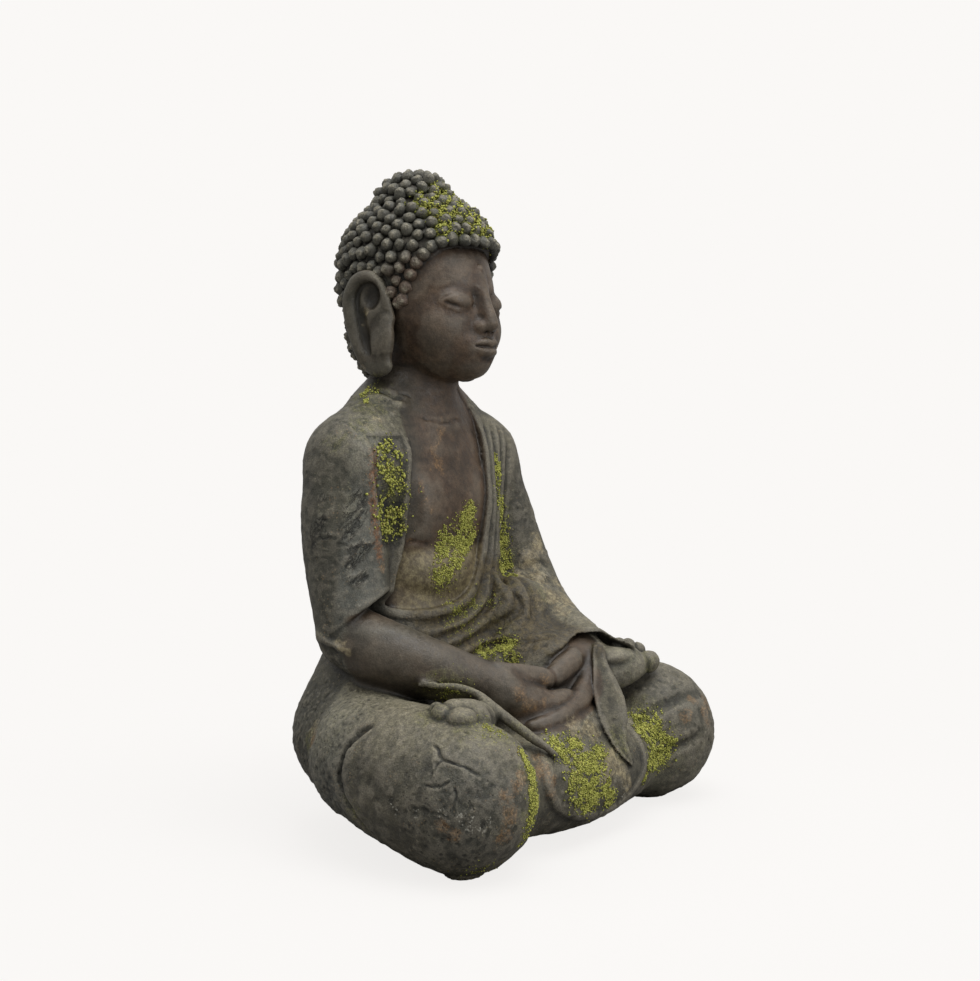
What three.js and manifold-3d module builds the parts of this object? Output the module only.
// Seated garden figure in the meditation pose, one cast piece.
// Millimetres, +Z up, the figure faces -Y, its right hand side is -X.
// The body is an implicit form: rounded limbs, ellipsoids and cut planes are
// blended into one field, the field is turned into a closed skin, the skin is
// thinned to a light mesh and the underside is cut flat.
import * as THREE from "three";
import { edgeTable, triTable } from "three/addons/objects/MarchingCubes.js";
import Module from "manifold-3d";

// ---- driving sizes -------------------------------------------------------
const HEIGHT = 420; // underside to the top of the hair
const CELL = 2.0; // sampling step of the field
const FACE_BUDGET = 9800; // triangles kept
const CLOTH = 4; // thickness of the robe over the chest
const SLEEVE = 5; // depth of the left sleeve's mouth
const HEM = 1.7; // extra roll at the robe's edge
const PANEL = 4.6; // thickness of the front fall of the robe
const KNOB_PITCH = 9.4; // spacing of the hair knobs
const KNOB_RADIUS = 5.0;
const KNOB_SINK = 1.1; // knob centres lie this far under the cap
const FOLDS = [0.24, 0.35, 0.47, 0.59, 0.71, 0.83, 0.94]; // pleats between the two robe lines
const STONE = { color: 0x5a5550, roughness: 0.9, metalness: 0.0 };

// ---- small field toolkit -------------------------------------------------
const FAR = 60;
const clamp = (v, a, b) => (v < a ? a : v > b ? b : v);
const smin = (a, b, k) => {
  if (k <= 0) return Math.min(a, b);
  const h = Math.max(k - Math.abs(a - b), 0) / k;
  return Math.min(a, b) - h * h * k * 0.25;
};
const smax = (a, b, k) => -smin(-a, -b, k);
const sstep = (a, b, x) => {
  const t = clamp((x - a) / (b - a), 0, 1);
  return t * t * (3 - 2 * t);
};
const interp = (x, T, c) => {
  if (x <= T[0][0]) return T[0][c];
  for (let i = 1; i < T.length; i++)
    if (x <= T[i][0]) {
      const a = T[i - 1], b = T[i];
      return a[c] + ((b[c] - a[c]) * (x - a[0])) / (b[0] - a[0]);
    }
  return T[T.length - 1][c];
};
// smooth row of points through the given ones, any number of columns
function spline(pts, n) {
  const m = pts.length - 1, out = [];
  const mix = (p, q) => p.map((v, i) => 2 * v - q[i]);
  for (let i = 0; i < m; i++) {
    const p1 = pts[i], p2 = pts[i + 1];
    const p0 = i > 0 ? pts[i - 1] : mix(p1, p2);
    const p3 = i + 2 <= m ? pts[i + 2] : mix(p2, p1);
    for (let j = 0; j < n; j++) {
      const t = j / n;
      out.push(p1.map((v, c) => 0.5 * (2 * v + (p2[c] - p0[c]) * t
        + (2 * p0[c] - 5 * v + 4 * p2[c] - p3[c]) * t * t
        + (3 * v - p0[c] - 3 * p2[c] + p3[c]) * t * t * t)));
    }
  }
  out.push(pts[m]);
  return out;
}
// signed distance to a closed smooth outline in (x, z), minus inside
function outline(V) {
  const L = new THREE.CatmullRomCurve3(V.map(([x, z]) => new THREE.Vector3(x, 0, z)), true, "catmullrom", 0.5).getPoints(V.length * 3);
  L.pop();
  return (x, z) => {
    let d = 1e9, s = 1;
    for (let i = 0, j = L.length - 1; i < L.length; j = i++) {
      const a = L[i], b = L[j], ex = b.x - a.x, ez = b.z - a.z, wx = x - a.x, wz = z - a.z;
      const t = clamp((wx * ex + wz * ez) / Math.max(ex * ex + ez * ez, 1e-9), 0, 1);
      d = Math.min(d, (wx - ex * t) ** 2 + (wz - ez * t) ** 2);
      if ((a.z > z) !== (b.z > z) && x < a.x + (ex * (z - a.z)) / ez) s = -s;
    }
    return s * Math.sqrt(d);
  };
}
// rotation by Euler angles in degrees; returns a function to the local frame
function turn(rx, ry, rz) {
  const m = new THREE.Matrix4().makeRotationFromEuler(new THREE.Euler(
    THREE.MathUtils.degToRad(rx), THREE.MathUtils.degToRad(ry), THREE.MathUtils.degToRad(rz), "ZYX"));
  return m.elements; // column major
}
function ellD(x, y, z, c, r, R) {
  let qx = x - c[0], qy = y - c[1], qz = z - c[2];
  if (R) {
    const a = R[0] * qx + R[1] * qy + R[2] * qz, b = R[4] * qx + R[5] * qy + R[6] * qz, d = R[8] * qx + R[9] * qy + R[10] * qz;
    qx = a; qy = b; qz = d;
  }
  const u = Math.hypot(qx / r[0], qy / r[1], qz / r[2]);
  const v = Math.hypot(qx / (r[0] * r[0]), qy / (r[1] * r[1]), qz / (r[2] * r[2]));
  return (u * (u - 1)) / Math.max(v, 1e-6);
}
function segments(pts, n) {
  const q = spline(pts, n), s = [];
  for (let i = 0; i + 1 < q.length; i++) {
    const a = q[i], b = q[i + 1], e = [b[0] - a[0], b[1] - a[1], b[2] - a[2]];
    s.push([a[0], a[1], a[2], e[0], e[1], e[2], Math.max(e[0] ** 2 + e[1] ** 2 + e[2] ** 2, 1e-9), a[3] ?? 0, (b[3] ?? 0) - (a[3] ?? 0)]);
  }
  return s;
}
function tubeD(x, y, z, S, flat) {
  let d = 1e3;
  for (const s of S) {
    const wx = x - s[0], wy = y - s[1], wz = z - s[2];
    const t = clamp((wx * s[3] + wy * s[4] + wz * s[5]) / s[6], 0, 1);
    let vx = wx - s[3] * t, vy = wy - s[4] * t, vz = wz - s[5] * t;
    if (flat) {
      const g = (vx * flat[0] + vy * flat[1] + vz * flat[2]) * (1 / flat[3] - 1);
      vx += flat[0] * g; vy += flat[1] * g; vz += flat[2] * g;
    }
    let dd = Math.sqrt(vx * vx + vy * vy + vz * vz) - (s[7] + s[8] * t);
    if (flat) dd *= Math.max(flat[3], 0.6);
    if (dd < d) d = dd;
  }
  return d;
}
// an ordered list of blended shapes, each with the box it matters in
class Form {
  ops = [];
  box(lo, hi, m, f) {
    this.ops.push([lo[0] - m, lo[1] - m, lo[2] - m, hi[0] + m, hi[1] + m, hi[2] + m, f]);
    return this;
  }
  at(x, y, z, d = FAR) {
    for (const o of this.ops)
      if (x > o[0] && x < o[3] && y > o[1] && y < o[4] && z > o[2] && z < o[5]) d = o[6](x, y, z, d);
    return d;
  }
  ell(c, r, k = 0, R = null) {
    const e = R ? Math.max(...r) : 0, h = R ? [e, e, e] : r;
    return this.box(c.map((v, i) => v - h[i]), c.map((v, i) => v + h[i]), 14 + k, (x, y, z, d) => smin(d, ellD(x, y, z, c, r, R), k));
  }
  cut(c, r, k = 0, R = null) {
    const e = R ? Math.max(...r) : 0, h = R ? [e, e, e] : r;
    return this.box(c.map((v, i) => v - h[i]), c.map((v, i) => v + h[i]), 8 + k, (x, y, z, d) => smax(d, -ellD(x, y, z, c, r, R), k));
  }
  tube(pts, k = 0, flat = null, n = 7) {
    const S = segments(pts, n), r = Math.max(...pts.map((p) => p[3])), lo = [0, 1, 2].map((i) => Math.min(...pts.map((p) => p[i])) - r), hi = [0, 1, 2].map((i) => Math.max(...pts.map((p) => p[i])) + r);
    return this.box(lo, hi, 14 + k, (x, y, z, d) => smin(d, tubeD(x, y, z, S, flat), k));
  }
  // ridge (h > 0) or groove (h < 0) of half width w along a line on the surface
  line(pts, w, h, ends = 0.25) {
    const S = segments(pts, 4), m = S.length, lo = [0, 1, 2].map((i) => Math.min(...pts.map((p) => p[i]))), hi = [0, 1, 2].map((i) => Math.max(...pts.map((p) => p[i])));
    return this.box(lo, hi, w * 2.4, (x, y, z, d) => {
      let best = 1e9, u = 0;
      for (let i = 0; i < m; i++) {
        const s = S[i], wx = x - s[0], wy = y - s[1], wz = z - s[2];
        const t = clamp((wx * s[3] + wy * s[4] + wz * s[5]) / s[6], 0, 1);
        const q = (wx - s[3] * t) ** 2 + (wy - s[4] * t) ** 2 + (wz - s[5] * t) ** 2;
        if (q < best) { best = q; u = (i + t) / m; }
      }
      const e = ends > 0 ? Math.min(1, Math.min(u, 1 - u) / ends) : 1;
      return d - h * Math.exp(-best / (w * w)) * e;
    });
  }
}
const BOTH = [-1, 1];

// ---- trunk: height, half width, half depth, middle depth, squareness --------
const TRUNK = spline([
  [-5, 48, 34, 48, 2.5], [6, 56, 38, 47, 2.6], [18, 71, 43, 47, 2.7], [34, 90, 48, 46, 2.8], [54, 102, 51, 47, 3.0],
  [76, 98, 50, 49, 2.9], [98, 86, 46, 51, 2.7], [118, 74, 42, 53, 2.5], [145, 64, 40, 55, 2.3], [175, 62, 41, 57, 2.3],
  [205, 64, 42, 58, 2.3], [232, 60, 38, 60, 2.3], [248, 48, 34, 61, 2.2], [262, 34, 30, 61, 2.1], [275, 26, 27, 60, 2.0], [300, 24, 25, 58, 2.0],
], 6);
function trunkD(x, y, z) {
  const a = interp(z, TRUNK, 1), b = interp(z, TRUNK, 2), n = interp(z, TRUNK, 4);
  const u = Math.abs(x) / a, v = Math.abs(y - interp(z, TRUNK, 3)) / b;
  const rho = Math.pow(Math.pow(u, n) + Math.pow(v, n), 1 / n) + 1e-9;
  const gx = Math.pow(u / rho, n - 1) / a, gy = Math.pow(v / rho, n - 1) / b;
  return Math.max((rho - 1) / Math.sqrt(gx * gx + gy * gy + 1e-12), z - 285);
}
const body = new Form();
for (const s of BOTH) {
  body.ell([s * 57, 60, 226], [34, 32, 31], 16);
  body.tube([[s * 8, 65, 272, 23], [s * 32, 63, 257.5, 22.5], [s * 60, 59, 234, 23]], 12);
}
// egg-shaped thigh and knee on each side, shins crossing between them
body.tube([[-60, 52, 54, 39], [-83, 24, 53, 38]], 20);
body.tube([[-101, -54, 42.5, 43.3], [-103, -24, 49, 41.5], [-98, 14, 54, 36.5]], 8);
body.tube([[60, 52, 52, 40], [86, 20, 49, 40]], 20);
body.tube([[116, -48, 44.5, 46], [107, -16, 47, 43], [92, 14, 49, 39]], 8);
const SHINS = [[-90, -50, 38, 26], [-50, -54, 35.5, 27.5], [0, -54, 31.5, 29.5], [50, -52, 33, 29.5], [96, -46, 37, 30]];
body.tube(SHINS, 8);
body.ell([0, -12, 42], [84, 48, 36], 18);
body.ell([0, -34, 74], [36, 20, 14], 8);
// crease where the right knee comes out of the robe, two creases on the left shin
body.line([[-124, -14, 82], [-131, -3, 74], [-134, 2, 64], [-136, 4, 52], [-136.5, 1, 42], [-136, -6, 33], [-132, -16, 22]], 2.7, -4.6, 0.14);
body.line([[-130, -10, 78], [-137, -4, 66], [-139.5, -3, 52], [-139, -9, 38]], 3.6, 1.3, 0.3);
body.line([[-97, 52, 112], [-100, 54, 98], [-108, 46, 88], [-112, 45, 74]], 3.4, 1.6, 0.25);
body.line([[62, -62, 50], [74, -68, 58], [89, -77, 67], [113, -86, 73], [128, -84, 76]], 3.6, -4, 0.3);
body.line([[60, -76, 33], [78, -80, 37], [96, -88, 42], [116, -94, 50]], 3.4, -3.4, 0.3);
const bodyD = (x, y, z) => body.at(x, y, z, Math.min(FAR, trunkD(x, y, z)));

// ---- sleeves ----------------------------------------------------------------
const rightSleeve = new Form()
  .tube([[-61, 60, 226, 29.5], [-70, 59, 195, 28], [-75, 54, 160, 25.5], [-78, 42, 114, 23.5]]);
const HEM_AT = [-55, 31, 153], HEM_OUT = new THREE.Vector3(0.42, -0.5, -1).normalize().toArray();
const leftSleeve = new Form()
  .tube([[60, 59, 227, 29], [71, 51, 195, 27.5], [80, 42, 162, 26], [83, 28, 137, 23], [75, 2, 118, 19], [62, -32, 106, 15]])
  .ell([46, -14, 103], [38, 34, 17], 10)
  .ell([48, 14, 120], [34, 24, 30], 14)
  .ell([62, -46, 101], [26, 22, 10], 8)
  .ell([32, -24, 97], [20, 20, 13], 8);
const mouth = outline([[1, 96], [7, 101.5], [15, 106], [27, 111], [41, 115], [54, 116.3], [63, 115.5], [70, 112], [77, 107], [86, 100], [88, 92], [72, 82], [40, 78], [8, 82]]);
const planeD = (x, y, z, a, n) => (x - a[0]) * n[0] + (y - a[1]) * n[1] + (z - a[2]) * n[2];
const sleeveD = [
  (x, y, z) => {
    const d = rightSleeve.at(x, y, z);
    return x > -130 && x < -30 && z > 80 && z < 175 ? smax(d, planeD(x, y, z, HEM_AT, HEM_OUT), 2) : d;
  },
  (x, y, z) => {
    const d = leftSleeve.at(x, y, z);
    if (!(x > -4 && x < 92 && y > -84 && y < 16 && z > 80 && z < 122)) return d;
    const o = mouth(x, z) + 30 * sstep(0, 14, y); // the mouth, open to the front only
    return Math.min(smax(d, -o, 1.2), d + SLEEVE, smax(d - 0.9, Math.abs(o - 2) - 1.8, 1.6));
  },
];
const clothed = (x, y, z) => Math.min(bodyD(x, y, z), sleeveD[0](x, y, z), sleeveD[1](x, y, z));
// drops points (x, z) on to the front of a form
function frontOf(pts, field) {
  return pts.map(([x, z]) => {
    let y = -115;
    for (let i = 0; i < 60; i++) y += clamp(field(x, y, z), -3, 8) * 0.8;
    return [x, y, z];
  });
}

// ---- bare chest inside the robe's edge, seen from the front -------------------
const opening = outline([
  [-6, 284], [-28, 274], [-40, 262], [-43, 250], [-44, 236], [-47.5, 220], [-48.5, 204], [-48.5, 188], [-50, 173], [-54, 158], [-58, 148], [-61, 140], [-54, 137], [-40, 136],
  [-26, 137], [-10, 140], [1, 147], [9, 160], [15, 174], [19, 191], [24, 212], [29, 232], [35, 248], [33, 262], [20, 274], [6, 284],
]);
const STRIP = [[170, -66], [177, -68], [189, -70], [204, -72], [221, -76], [240, -76]]; // outer side of the strip, by height
const chest = new Form();
for (const s of BOTH) chest.ell([s * 24 - 8, 34.5, 200], [27, 13, 24], 9, turn(0, 0, s * -8));
chest.line([[-50, 28, 181], [-44, 22, 178], [-28, 14, 173], [-14, 12.5, 173.5], [-6, 13, 175], [2, 14, 173], [14, 18, 176]], 3.6, -2.6, 0.12);
chest.line([[-50, 26, 150], [-26, 14, 146], [-4, 14, 149]], 4, -1.2);
chest.ell([-12, 34, 158], [36, 20, 16], 6);

// ---- pleats of the robe from the left shoulder round to the waist -------------
const FOLD_IN = [[40, 258], [35, 247], [29, 230], [25, 213], [20, 191], [16, 174], [10, 160], [2, 147], [-10, 140], [-26, 136], [-42, 135], [-54, 136]];
const FOLD_OUT = [[66, 250], [60, 236], [56, 222], [54, 206], [53, 186], [51, 166], [47, 146], [40, 128], [26, 114], [6, 106], [-16, 101], [-38, 98]];
const pleats = new Form();
FOLDS.forEach((t, j) => {
  const p = FOLD_IN.map((a, i) => [a[0] * (1 - t) + FOLD_OUT[i][0] * t, a[1] * (1 - t) + FOLD_OUT[i][1] * t]);
  pleats.line(frontOf(p, clothed), j % 2 ? 3.5 : 3.0, j % 2 ? 2.2 : -3.0, 0.12);
});

// edge of the robe by the neck, and the step where the upper part of the left sleeve hangs over the lower
pleats.line([[-47, 56, 274], [-42, 47, 269], [-36, 45, 267], [-29, 46, 269], [-22, 44, 272]], 1.9, -1.9, 0.15);
pleats.line([[-47, 52, 270], [-40, 42, 264], [-30, 41, 264]], 2.6, 1, 0.3);
pleats.line([[57, 6, 143], [60, 11, 150], [66, 15, 155], [74, 14, 158], [82, 12, 157], [89, 8, 152]], 2.4, -3.2, 0.2);
pleats.line([[62, 4, 143], [68, 8, 148], [76, 8, 150], [84, 5, 147]], 4, 1.8, 0.3);
pleats.line([[60, 16, 158], [68, 20, 163], [78, 19, 164]], 4, 1.2, 0.3);

// plainer folds over the back
const BACK_FOLDS = [
  [[46, 250], [34, 214], [10, 170], [-24, 126], [-58, 96]], [[56, 234], [48, 198], [26, 154], [-6, 112], [-42, 82]],
  [[30, 258], [12, 232], [-14, 196], [-44, 160], [-62, 138]], [[60, 214], [56, 176], [40, 134], [14, 98], [-16, 72]],
];
BACK_FOLDS.forEach((p, j) => {
  const q = p.map(([x, z]) => {
    let y = 140;
    for (let i = 0; i < 60; i++) y -= clamp(bodyD(x, y, z), -3, 8) * 0.8;
    return [x, y, z];
  });
  pleats.line(q, 4.2, j % 2 ? 1.5 : -1.9, 0.2);
});

// ---- front fall, forearms, hands, feet ---------------------------------------
const lapUnder = new Form().ell([6, -46, 48], [42, 24, 30], 8);
// the front fall: a panel with a rolled rim, standing proud of the crossed shins
const fall = outline([[-30, 76], [-46, 62], [-57, 48], [-54, 34], [-42, 24], [-25, 17], [-8, 13.5], [10, 14], [25, 17], [38, 23.5], [47, 32], [51, 42], [52, 56], [50, 74], [30, 84], [0, 84]]);
const fallBase = new Form().ell([12, -42, 66], [38, 23, 18]).tube(SHINS, 8).ell([6, -46, 48], [44, 25, 31], 8).ell([0, -34, 74], [36, 20, 14], 8);
function fallD(x, y, z) {
  const o = fall(x, z), low = sstep(70, 50, z), f = fallBase.at(x, y, z) - (PANEL - 2.4 * sstep(-26, -48, x)) * sstep(86, 66, z);
  const rim = smax(f - 1.4 * low * (1 - 0.75 * sstep(-22, -40, x)) + 1.4 * (1 - low), Math.abs(o + 3) - 2.4, 2.2);
  return smin(smax(f, o, 2.5), rim, 2);
}
const lap = new Form();
lap.ell([4, -40, 68], [40, 20, 13], 8);
lap.ell([8, -34, 82], [34, 15, 11], 6);
lap.tube([[-82, 46, 122, 19.5], [-78, 22, 113, 20.5], [-66, -2, 105, 18.5], [-50, -20, 98, 15], [-38, -33, 92, 13.5]], 4);
// left hand, then the right hand lying on it, thumb tips touching
lap.ell([35, -29, 98], [22, 18, 14], 4);
lap.ell([20, -22, 94], [17, 16, 12], 6);
lap.tube([[50, -34, 102, 12], [46, -41, 100, 11.5], [38.5, -48.5, 93, 9.8], [26, -54.5, 85, 8], [9, -59, 78.5, 7.2], [-11, -60.5, 73.5, 6.2], [-26, -57, 71, 5], [-32.5, -54.5, 71, 3.2]], 2);
lap.tube([[-38, -33, 92, 13.5], [-28, -40, 85.5, 13], [-17, -47, 81, 11]], 4);
lap.tube([[-20, -47, 82, 9], [-10, -53, 81.5, 7.5], [1, -55, 82.5, 6.2], [9, -54, 83, 4]], 1.2);
lap.tube([[-40, -32, 100, 8.5], [-26, -39, 98, 8], [-12, -44, 95.5, 7.5], [-5, -45, 94.2, 6.6]], 2);
lap.tube([[46, -36, 103, 9], [30, -43, 101, 8], [15, -45, 97.8, 7.6], [3, -46, 94.6, 6.6]], 1.6);
lap.ell([20, -38, 88.5], [25, 12.5, 9], 3);
// rolled edge of the robe from under the right arm to the middle
lap.tube([[-83, -10, 98.5, 1.4], [-79, -18, 98, 1.8], [-72, -28, 97, 2.3], [-66, -38, 93.5, 2.7], [-64, -47, 87, 3.1], [-60, -54, 80.4, 3.2], [-54.5, -60, 74.3, 3.1], [-50, -67, 68, 2.8], [-46.5, -73.5, 63, 2.2], [-42, -78, 58, 1.4]], 1.2);
// feet on the opposite thighs: sole, then toes
lap.tube([[-66, -42, 79, 8.5], [-78, -47.5, 81.5, 10], [-89, -50, 84, 10.6], [-99, -47, 87, 9]], 4);
lap.ell([-102.5, -54.5, 85.5], [10.5, 9.3, 7.4], 1.2, turn(0, 10, 10));
lap.ell([-108.5, -45.5, 88.5], [5.6, 6, 5.8], 1.2);
lap.ell([-104, -39, 90], [4.2, 4.6, 4.2], 1.2);
lap.ell([-90, -58, 84], [7, 6, 7.5], 3);
lap.tube([[48, -46, 89, 13], [66, -52, 91, 12.6], [80, -55.5, 92.5, 10.6], [87, -57, 93, 8.6]], 4);
lap.ell([95, -61.5, 94], [8.2, 7.4, 7.6], 0.8, turn(0, -8, 0));
lap.ell([95.5, -53, 101], [5.4, 5.2, 5.2], 0.8);
lap.ell([88.5, -49.5, 104.5], [5.4, 5.2, 5], 0.8);
lap.ell([80, -47, 106], [5.2, 5, 4.6], 0.8);
// leaf-shaped end of the robe hanging over the left shin
// LEAF: outline across the plate and up; LEAF_FACE: height, start and width across, depth of its face at either side
const LEAF = outline([[66, 110], [65, 99], [64.5, 90], [65.2, 79], [68.5, 67], [73.5, 57.5], [79.5, 49], [86, 42], [89, 39], [88, 46], [85.5, 54], [85.4, 61], [86.6, 68], [85, 78], [81, 87.5], [76.5, 96], [74, 103], [72.5, 110]]);
const LEAF_FACE = [[38, 88, 4, -33, -28], [42, 86, 4, -34, -28], [49, 79, 8, -37, -28], [57, 73.5, 11, -35.5, -25], [66, 69, 16.5, -32, -20],
  [79, 65.4, 19.5, -24, -12], [91, 65, 14, -17, -8], [104, 65, 8.5, -6, -1], [112, 65, 7.5, 0, 5]];
function leafD(x, y, z) {
  const u = 0.588 * x - 0.809 * y, w = 0.809 * x + 0.588 * y;
  const t = clamp((u - interp(z, LEAF_FACE, 1)) / interp(z, LEAF_FACE, 2), -0.4, 1.4);
  const face = interp(z, LEAF_FACE, 3) * (1 - t) + interp(z, LEAF_FACE, 4) * t + 2.2 * Math.exp(-(((t - 0.5) / 0.3) ** 2));
  return smax(smax(LEAF(u, z), (face - w) * 0.93, 1.6), w - face - 11, 1);
}
lap.ell([-105, -59, 3.5], [13.5, 11, 5], 1.5);
lap.ell([13, -1, 99], [11, 10, 7], 5);
lap.line([[-98, 60, 126], [-103, 50, 122], [-103.5, 42, 119.5], [-102, 34, 118], [-99, 29, 116]], 2.6, 2.4, 0.12);
lap.line([[-101, 54, 117], [-104, 46, 114], [-103, 38, 112], [-100, 31, 110]], 2.6, -1.8, 0.2);

// ---- head ---------------------------------------------------------------------
const head = new Form();
head.ell([0, 61, 346], [43, 52, 46]);
head.ell([0, 46, 322], [37, 41, 41], 14);
head.ell([0, 26, 299], [25, 21, 18], 12);
head.ell([0, 14, 290], [11, 10, 8], 8);
for (const s of BOTH) head.ell([s * 19, 23, 313], [16, 13, 15], 10);
head.tube([[0, 62, 262, 27], [0, 61, 285, 26], [0, 58, 305, 25]], 8);
for (const [z, y] of [[273, 30], [265, 24]])
  head.line([[-24, y + 24, z + 3], [-14, y + 6, z], [0, y, z - 1], [14, y + 6, z], [24, y + 24, z + 3]], 2.2, -1.3, 0.1);
for (const s of BOTH) {
  head.cut([s * 17, 1, 330], [13, 6, 7], 6);
  head.ell([s * 17.5, 15, 328.5], [12.5, 9.5, 8.5], 2, turn(0, 0, s * 16));
  head.line([[s * 7, 7, 327.4], [s * 12, 4.6, 325], [s * 18, 5.4, 324.3], [s * 24, 9, 325.6], [s * 29.5, 14.4, 328]], 1.4, -1.9, 0.08);
  head.line([[s * 7, 7.4, 331.4], [s * 12, 5, 334], [s * 19, 6.2, 335], [s * 26, 10.6, 333], [s * 31, 16, 329.5]], 1.2, -1.1, 0.1);
  head.line([[s * 4, 3, 336], [s * 10, 3.5, 341.5], [s * 19, 6.5, 343.5], [s * 28, 13, 341], [s * 34, 20, 336.5]], 2.4, 1.3, 0.12);
}
head.tube([[0, 7.5, 339, 3.2], [0, 4.2, 330, 3.7], [0, 1, 321, 4.4], [0, -0.6, 315, 4.9]], 6);
for (const s of BOTH) head.ell([s * 5.8, 4, 312.6], [3.7, 4.4, 3.3], 3);
head.ell([0, 9, 300], [14, 9, 9], 6);
for (const s of BOTH) {
  head.tube([[0, 0.2, 302.2, 2.3], [s * 4, 0.2, 303.2, 2.5], [s * 9, 3.4, 301.6, 1.8], [s * 13, 7.5, 301.4, 0.8]], 1.5);
  head.tube([[0, 0.6, 297.4, 3], [s * 5, 1.6, 297.6, 2.8], [s * 10, 5, 299.6, 1.5]], 1.5);
}
head.line([[-13, 6.5, 301.4], [-8, 1.5, 300.6], [-4, -1.6, 300.4], [0, -2, 299.9], [4, -1.6, 300.4], [8, 1.5, 300.6], [13, 6.5, 301.4]], 1.1, -1.6, 0.08);
head.line([[-7, 4, 292.8], [0, 2.5, 292.4], [7, 4, 292.8]], 2.2, -1.1, 0.3);
head.ell([0, 8.5, 350.5], [2.6, 2.6, 2.6], 0.6);

// ---- ears with long lobes ---------------------------------------------------------
const ears = BOTH.map((s) => new Form()
  .ell([s * 43, 61, 325], [7, 15, 23], 0, turn(0, 0, s * 8))
  .ell([s * 43.5, 57, 303], [5, 13.5, 21.5], 5, turn(10, 0, s * 5))
  .tube([[s * 43.5, 45, 318, 2.6], [s * 46, 49, 332, 3.2], [s * 48, 58, 343.5, 4.2], [s * 49.5, 67.5, 342, 4.6], [s * 50, 73, 333, 4.8], [s * 50, 72.5, 321, 4.9], [s * 49, 69.5, 308, 4.5],
    [s * 48, 65, 296, 4.4], [s * 47, 60, 288, 4.2], [s * 46, 54.5, 285, 4]], 2)
  .ell([s * 45.8, 52, 300], [6, 9, 19.5], 2.5, turn(14, 0, s * 3))
  .ell([s * 45.5, 50.5, 287.5], [5, 8.5, 6.5], 3)
  .cut([s * 50.5, 56.5, 332], [6, 6.5, 8.5], 3)
  .line([[s * 50, 62, 327], [s * 50, 63, 318], [s * 50, 60.5, 307], [s * 50, 58, 298], [s * 49.5, 56, 292]], 2.2, -3, 0.2)
  .ell([s * 44.5, 47, 316], [4, 4, 5.5], 2));

// ---- hair: a cap with a bun, covered in rows of knobs -------------------------------
const HAIRLINE = [[-10, 365], [6, 365], [15, 364], [21, 361], [30, 348.5], [37, 335], [42, 325], [47, 333], [51, 341], [58, 349], [70, 348], [76, 330], [79, 300], [84, 286], [112, 280]];
const overHairline = (y, z) => z - interp(y, HAIRLINE, 1);
const cap = new Form()
  .ell([0, 58.5, 354], [44.5, 55, 47.5])
  .ell([0, 71, 316], [36, 34, 38], 12)
  .ell([0, 61.5, 391.5], [23.5, 26.5, 23.5], 4);
const capD = (x, y, z) => cap.at(x, y, z);
// pulls a point on to the cap
function ontoCap(p, passes) {
  for (let i = 0; i < passes; i++) {
    const e = 0.5, d = capD(...p);
    const g = [0, 1, 2].map((c) => { const a = [...p], b = [...p]; a[c] += e; b[c] -= e; return (capD(...a) - capD(...b)) / (2 * e); });
    const l = Math.max(g[0] ** 2 + g[1] ** 2 + g[2] ** 2, 0.2);
    p = p.map((v, c) => v - (g[c] * d) / l);
  }
  return p;
}
const apart = (a, b) => Math.hypot(a[0] - b[0], a[1] - b[1], a[2] - b[2]);
const overEar = ([x, y, z]) => Math.abs(x) > 30 && y > 45 && y < 78 && z < 347;
// first row of knobs, standing on the hairline
const edge = [];
for (let y = -4; y <= 118; y += 0.15) {
  const z = interp(y, HAIRLINE, 1) + 3.4;
  let w = -1;
  for (let x = 0; x <= 60; x += 0.25) if (capD(x, y, z) < 0) w = x;
  if (w >= 0) edge.push([edge.length ? w : 0, y, z]);
}
const knobs = [];
for (let i = 0, run = 0, due = 0; i < edge.length; i++) {
  if (i) run += apart(edge[i], edge[i - 1]);
  if (run < due) continue;
  due += KNOB_PITCH * 0.97;
  for (const s of BOTH) {
    const p = [s * edge[i][0], edge[i][1], edge[i][2]];
    if (!overEar(p) && !(s > 0 && i === 0)) knobs.push(p);
  }
}
const fixed = knobs.length;
// the rest spread evenly over the cap
let seed = 4;
const random = () => ((seed = (seed * 1664525 + 1013904223) >>> 0) / 4294967296);
for (let i = 0; i < 30000; i++) {
  let p = [-50 + 100 * random(), -2 + 122 * random(), 280 + 140 * random()];
  if (Math.abs(capD(...p)) > 4) continue;
  p = ontoCap(p, 4);
  if (overHairline(p[1], p[2]) < 3 || overEar(p)) continue;
  if (knobs.every((k) => apart(k, p) > KNOB_PITCH * 0.77)) knobs.push(p);
}
for (let pass = 0; pass < 30; pass++)
  for (let i = fixed; i < knobs.length; i++) {
    const p = knobs[i], m = [0, 0, 0];
    for (const k of knobs) {
      const r = apart(k, p), w = 1 - r / (KNOB_PITCH * 1.06);
      if (k !== p && w > 0) for (let c = 0; c < 3; c++) m[c] += ((p[c] - k[c]) / (r + 1e-6)) * w * 1.6;
    }
    const q = ontoCap(p.map((v, c) => v + m[c]), 1);
    q[2] += clamp(3 - overHairline(q[1], q[2]), 0, 2);
    knobs[i] = q;
  }
const MID = [0, 60, 350];
for (const p of knobs) { const l = apart(p, MID); for (let c = 0; c < 3; c++) p[c] -= ((p[c] - MID[c]) / l) * KNOB_SINK; }
function hairD(x, y, z) {
  if (z < 264) return FAR;
  let d = smax(capD(x, y, z) + 1.2, -overHairline(y, z) * 0.8, 2);
  if (d < 9 && d > -8) {
    let b = 1e9;
    for (const k of knobs) {
      const q = (x - k[0]) ** 2 + (y - k[1]) ** 2 + (z - k[2]) ** 2;
      if (q < b) b = q;
    }
    d = smin(d, Math.sqrt(b) - KNOB_RADIUS, 1.2);
  }
  return d;
}

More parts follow.
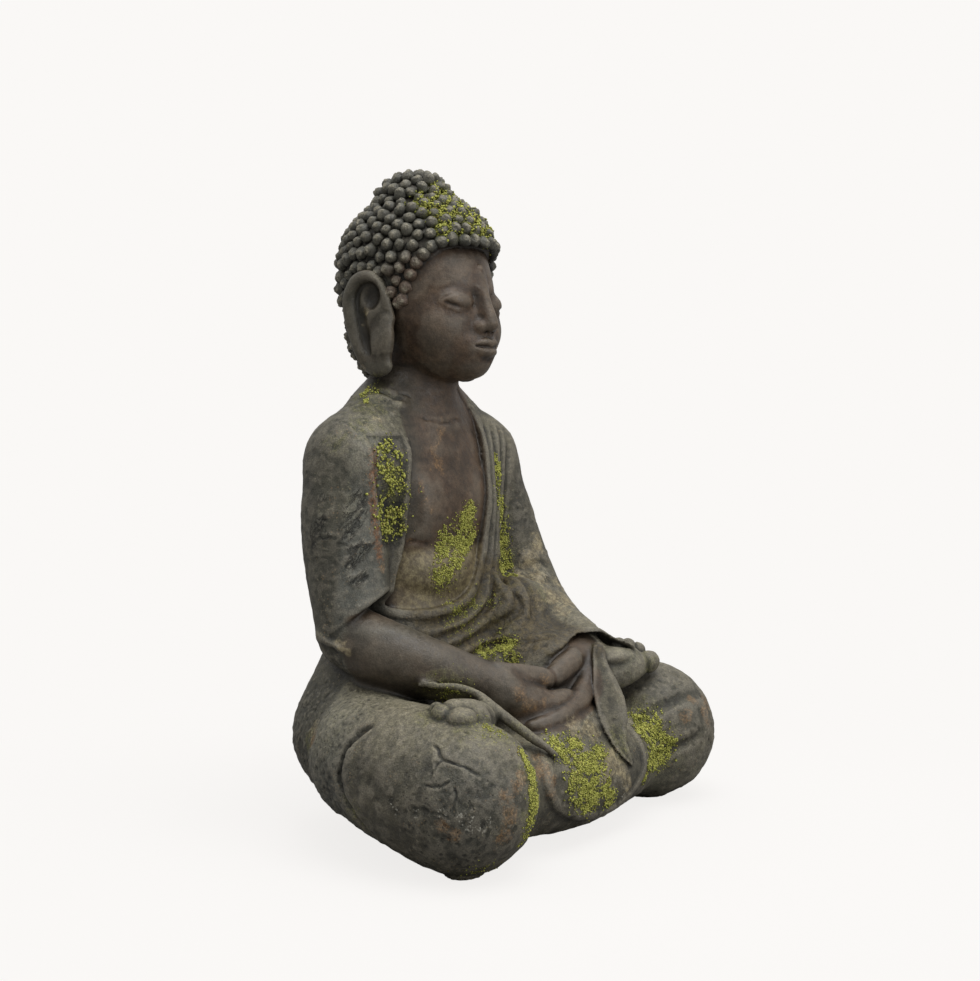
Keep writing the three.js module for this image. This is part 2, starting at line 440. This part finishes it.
// ---- the whole figure ------------------------------------------------------------
function figure(x, y, z) {
  let d = smin(smin(bodyD(x, y, z), sleeveD[0](x, y, z), 9), sleeveD[1](x, y, z), 9);
  if (x > -80 && x < 50 && y > -24 && y < 64 && z > 124 && z < 290) {
    // robe cut open over the chest, rolled hem along the cut, chest set back inside it
    const front = sstep(60, 44, y), e = opening(x, z), o = e + 40 * sstep(44, 62, y);
    // towards the neck, most of all on the right, the robe thins out and lies flat on the skin
    const w = (1 - sstep(218, 262, z) * sstep(14, -34, x)) * (1 - 0.55 * sstep(238, 268, z));
    const right = sstep(-38, -46, x) * sstep(146, 156, z);
    const bare = chest.at(x, y, z, d + CLOTH * w);
    const skin = smax(bare, d + 2.4 * sstep(-16, -3, o) - 0.6, 2);
    const hem = smax(d - HEM * w * (1 - 0.85 * right), Math.abs(o - 3) - 2.8, 2.2);
    d = Math.min(smin(smax(d, -o, 1.2), hem, 1.5), skin) * w + Math.min(d + 0.5, bare) * (1 - w);
    // sunk strip along the right edge of the robe
    const outer = x - interp(z, STRIP, 1);
    d += 1.1 * sstep(-1.2, 1, outer) * sstep(245.5, 243, z) * sstep(166, 186, z) * sstep(2.5, 4.5, o) * sstep(-46, -50, x) * front;
  }
  d = pleats.at(x, y, z, d);
  d = lapUnder.at(x, y, z, d);
  if (x > -66 && x < 70 && y > -110 && y < -30 && z > 2 && z < 92) d = smin(d, fallD(x, y, z), 2);
  d = lap.at(x, y, z, d);
  if (x > 12 && x < 58 && y > -100 && y < -42 && z > 32 && z < 114) d = smin(d, leafD(x, y, z), 0.6);
  if (z > 250) {
    let h = smin(head.at(x, y, z), ears[x < 0 ? 0 : 1].at(x, y, z), 1.5);
    h = smin(h, hairD(x, y, z), 1);
    d = smin(d, h, 3);
  }
  return d;
}

// ---- field to closed skin -----------------------------------------------------------
const LO = [-160, -112, -7.3], HI = [176, 132, 430];
function skinOf(field, step, lo, hi) {
  const N = lo.map((v, i) => Math.ceil((hi[i] - v) / step / 3) * 3 + 1), [nx, ny, nz] = N;
  const D = new Float32Array(nx * ny * nz).fill(1), at = (i, j, k) => i + nx * (j + ny * k);
  const B = 3, reach = Math.hypot(B, B, B) * 0.5 * step * 1.35 + 0.5;
  const seen = new Uint8Array(D.length);
  const cells = [];
  for (let k = 0; k + 1 < nz; k += B) for (let j = 0; j + 1 < ny; j += B) for (let i = 0; i + 1 < nx; i += B) {
    const c = field(lo[0] + (i + B / 2) * step, lo[1] + (j + B / 2) * step, lo[2] + (k + B / 2) * step);
    const near = Math.abs(c) < reach;
    if (near) cells.push([i, j, k]);
    for (let c2 = 0; c2 <= B; c2++) for (let b = 0; b <= B; b++) for (let a = 0; a <= B; a++) {
      const q = at(i + a, j + b, k + c2);
      if (near) {
        if (!seen[q]) {
          seen[q] = 1;
          const v = field(lo[0] + (i + a) * step, lo[1] + (j + b) * step, lo[2] + (k + c2) * step);
          D[q] = Math.abs(v) < 1e-3 ? 1e-3 : v;
        }
      } else if (!seen[q]) D[q] = c;
    }
  }
  // close the field at the bottom of the grid
  for (let j = 0; j < ny; j++) for (let i = 0; i < nx; i++) D[at(i, j, 0)] = Math.max(D[at(i, j, 0)], 1e-3);
  const P = [], F = [], ids = new Map();
  const C = [[0, 0, 0], [1, 0, 0], [1, 1, 0], [0, 1, 0], [0, 0, 1], [1, 0, 1], [1, 1, 1], [0, 1, 1]];
  const E = [[0, 1], [1, 2], [2, 3], [3, 0], [4, 5], [5, 6], [6, 7], [7, 4], [0, 4], [1, 5], [2, 6], [3, 7]];
  const point = (i, j, k, e) => {
    const a = C[E[e][0]], b = C[E[e][1]];
    const qa = at(i + a[0], j + a[1], k + a[2]), qb = at(i + b[0], j + b[1], k + b[2]);
    const key = Math.min(qa, qb) * 3 + (a[0] !== b[0] ? 0 : a[1] !== b[1] ? 1 : 2);
    let id = ids.get(key);
    if (id === undefined) {
      const t = clamp(D[qa] / (D[qa] - D[qb]), 0.04, 0.96);
      id = P.length / 3;
      ids.set(key, id);
      P.push(lo[0] + (i + a[0] + (b[0] - a[0]) * t) * step, lo[1] + (j + a[1] + (b[1] - a[1]) * t) * step, lo[2] + (k + a[2] + (b[2] - a[2]) * t) * step);
    }
    return id;
  };
  for (let k = 0; k + 1 < nz; k++) for (let j = 0; j + 1 < ny; j++) for (let i = 0; i + 1 < nx; i++) {
    let m = 0;
    for (let c = 0; c < 8; c++) if (D[at(i + C[c][0], j + C[c][1], k + C[c][2])] < 0) m |= 1 << c;
    if (!edgeTable[m]) continue;
    for (let t = m * 16; triTable[t] !== -1; t += 3) F.push([point(i, j, k, triTable[t]), point(i, j, k, triTable[t + 1]), point(i, j, k, triTable[t + 2])]);
  }
  return { P, F };
}

// ---- thinning: collapse the edges that change the form least ---------------------------
// where small forms matter more: face, hands and feet; less: hair, back and underside
const worth = (x, y, z) => (z > 285 && z < 345 && y < 40 ? 3 : z > 285 && (y > 30 || z > 350) ? 0.8 : z > 60 && z < 125 && y < -20 ? 2 : y > 60 ? 0.45 : z < 12 ? 0.4 : 1);
function thin({ P, F }, budget) {
  const n = P.length / 3, Q = new Float64Array(n * 10), faces = F.map((f) => f.slice()), alive = new Uint8Array(faces.length).fill(1);
  const around = Array.from({ length: n }, () => new Set());
  const normal = (a, b, c) => {
    const ux = P[b * 3] - P[a * 3], uy = P[b * 3 + 1] - P[a * 3 + 1], uz = P[b * 3 + 2] - P[a * 3 + 2];
    const vx = P[c * 3] - P[a * 3], vy = P[c * 3 + 1] - P[a * 3 + 1], vz = P[c * 3 + 2] - P[a * 3 + 2];
    return [uy * vz - uz * vy, uz * vx - ux * vz, ux * vy - uy * vx];
  };
  faces.forEach((f, i) => {
    for (const v of f) around[v].add(i);
    const m = normal(...f), l = Math.hypot(...m);
    if (l < 1e-12) return;
    const [a, b, c] = m.map((v) => v / l), d = -(a * P[f[0] * 3] + b * P[f[0] * 3 + 1] + c * P[f[0] * 3 + 2]), w = l * 0.5 * worth(P[f[0] * 3], P[f[0] * 3 + 1], P[f[0] * 3 + 2]);
    const q = [a * a, a * b, a * c, a * d, b * b, b * c, b * d, c * c, c * d, d * d];
    for (const v of f) for (let j = 0; j < 10; j++) Q[v * 10 + j] += q[j] * w;
  });
  const cost = (q, x, y, z) => q[0] * x * x + 2 * q[1] * x * y + 2 * q[2] * x * z + 2 * q[3] * x + q[4] * y * y + 2 * q[5] * y * z + 2 * q[6] * y + q[7] * z * z + 2 * q[8] * z + q[9];
  const version = new Uint32Array(n), heap = [];
  const less = (a, b) => heap[a][0] < heap[b][0];
  const swap = (a, b) => { const t = heap[a]; heap[a] = heap[b]; heap[b] = t; };
  const push = (e) => { heap.push(e); let i = heap.length - 1; while (i > 0) { const p = (i - 1) >> 1; if (!less(i, p)) break; swap(i, p); i = p; } };
  const pop = () => {
    const top = heap[0], last = heap.pop();
    if (heap.length) { heap[0] = last; let i = 0; for (;;) { const l = 2 * i + 1, r = l + 1; let s = i; if (l < heap.length && less(l, s)) s = l; if (r < heap.length && less(r, s)) s = r; if (s === i) break; swap(i, s); i = s; } }
    return top;
  };
  const q = new Float64Array(10);
  const offer = (a, b) => {
    if (a > b) [a, b] = [b, a];
    for (let j = 0; j < 10; j++) q[j] = Q[a * 10 + j] + Q[b * 10 + j];
    const ax = P[a * 3], ay = P[a * 3 + 1], az = P[a * 3 + 2], bx = P[b * 3], by = P[b * 3 + 1], bz = P[b * 3 + 2];
    let best = [(ax + bx) / 2, (ay + by) / 2, (az + bz) / 2];
    const len = Math.hypot(ax - bx, ay - by, az - bz);
    const c00 = q[4] * q[7] - q[5] * q[5], c01 = q[2] * q[5] - q[1] * q[7], c02 = q[1] * q[5] - q[2] * q[4], det = q[0] * c00 + q[1] * c01 + q[2] * c02;
    let e = cost(q, ...best);
    if (Math.abs(det) > 1e-5) {
      const c11 = q[0] * q[7] - q[2] * q[2], c12 = q[1] * q[2] - q[0] * q[5], c22 = q[0] * q[4] - q[1] * q[1];
      const x = -(c00 * q[3] + c01 * q[6] + c02 * q[8]) / det, y = -(c01 * q[3] + c11 * q[6] + c12 * q[8]) / det, z = -(c02 * q[3] + c12 * q[6] + c22 * q[8]) / det;
      if (Math.hypot(x - best[0], y - best[1], z - best[2]) < len * 1.5) { best = [x, y, z]; e = cost(q, x, y, z); }
    }
    for (const p of [[ax, ay, az], [bx, by, bz]]) { const v = cost(q, ...p); if (v < e) { e = v; best = p; } }
    push([Math.max(e, 0) + 1e-6 * len * len, a, b, version[a], version[b], best]);
  };
  for (const f of faces) for (let i = 0; i < 3; i++) if (f[i] < f[(i + 1) % 3]) offer(f[i], f[(i + 1) % 3]);
  let left = faces.length;
  const ring = (v) => { const s = new Set(); for (const i of around[v]) for (const w of faces[i]) if (w !== v) s.add(w); return s; };
  while (left > budget && heap.length) {
    const [, a, b, va, vb, best] = pop();
    if (version[a] !== va || version[b] !== vb) continue;
    const ra = ring(a), rb = ring(b);
    let shared = 0;
    for (const w of ra) if (rb.has(w)) shared++;
    if (shared !== 2) continue; // would pinch the skin
    let bad = false;
    for (const [v, o] of [[a, b], [b, a]]) for (const i of around[v]) {
      const f = faces[i];
      if (f.includes(o)) continue;
      const m0 = normal(...f), save = [P[v * 3], P[v * 3 + 1], P[v * 3 + 2]];
      P[v * 3] = best[0]; P[v * 3 + 1] = best[1]; P[v * 3 + 2] = best[2];
      const m1 = normal(...f);
      P[v * 3] = save[0]; P[v * 3 + 1] = save[1]; P[v * 3 + 2] = save[2];
      const l0 = Math.hypot(...m0), l1 = Math.hypot(...m1);
      if (l1 < 1e-4 || (m0[0] * m1[0] + m0[1] * m1[1] + m0[2] * m1[2]) < 0.25 * l0 * l1) { bad = true; break; }
      const p = f.map((w) => (w === v ? best : [P[w * 3], P[w * 3 + 1], P[w * 3 + 2]]));
      const ee = [0, 1, 2].map((t) => Math.hypot(...p[t].map((c, m) => c - p[(t + 1) % 3][m])));
      if (l1 / Math.max(...ee) ** 2 < 0.05) { bad = true; break; } // no slivers
    }
    if (bad) continue;
    for (const i of [...around[b]]) {
      const f = faces[i];
      if (f.includes(a)) {
        alive[i] = 0; left--;
        for (const w of f) around[w].delete(i);
      } else {
        f[f.indexOf(b)] = a;
        around[a].add(i); around[b].delete(i);
      }
    }
    P[a * 3] = best[0]; P[a * 3 + 1] = best[1]; P[a * 3 + 2] = best[2];
    for (let j = 0; j < 10; j++) Q[a * 10 + j] += Q[b * 10 + j];
    version[a]++; version[b]++;
    for (const w of ring(a)) offer(a, w);
  }
  const out = [], ids = new Map(), T = [];
  faces.forEach((f, i) => {
    if (!alive[i]) return;
    for (const v of f) {
      if (!ids.has(v)) { ids.set(v, out.length / 3); out.push(P[v * 3], P[v * 3 + 1], P[v * 3 + 2]); }
      T.push(ids.get(v));
    }
  });
  return { P: out, T };
}

// ---- assemble --------------------------------------------------------------------------
const skin = skinOf(figure, CELL, LO, HI);
const light = thin(skin, FACE_BUDGET);
const wasm = await Module();
wasm.setup();
let solid = new wasm.Manifold(new wasm.Mesh({ numProp: 3, vertProperties: new Float32Array(light.P), triVerts: new Uint32Array(light.T) }));
if (solid.volume() < 0) {
  for (let i = 0; i < light.T.length; i += 3) [light.T[i + 1], light.T[i + 2]] = [light.T[i + 2], light.T[i + 1]];
  solid = new wasm.Manifold(new wasm.Mesh({ numProp: 3, vertProperties: new Float32Array(light.P), triVerts: new Uint32Array(light.T) }));
}
solid = solid.trimByPlane([0, 0, 1], 0); // flat underside
solid = solid.decompose().sort((a, b) => b.volume() - a.volume())[0];
const cut = solid.getMesh();
const geometry = new THREE.BufferGeometry();
geometry.setAttribute("position", new THREE.BufferAttribute(new Float32Array(cut.vertProperties), 3));
geometry.setIndex([...cut.triVerts]);
geometry.computeBoundingBox();
const box = geometry.boundingBox;
geometry.translate(-(box.min.x + box.max.x) / 2, -(box.min.y + box.max.y) / 2, 0);
geometry.scale(1, 1, HEIGHT / box.max.z);
geometry.computeVertexNormals();

const statue = new THREE.Mesh(geometry, new THREE.MeshStandardMaterial(STONE));
statue.name = "buddha_statue";
const group = new THREE.Group();
group.name = "seated_garden_figure";
group.add(statue);
export default group;
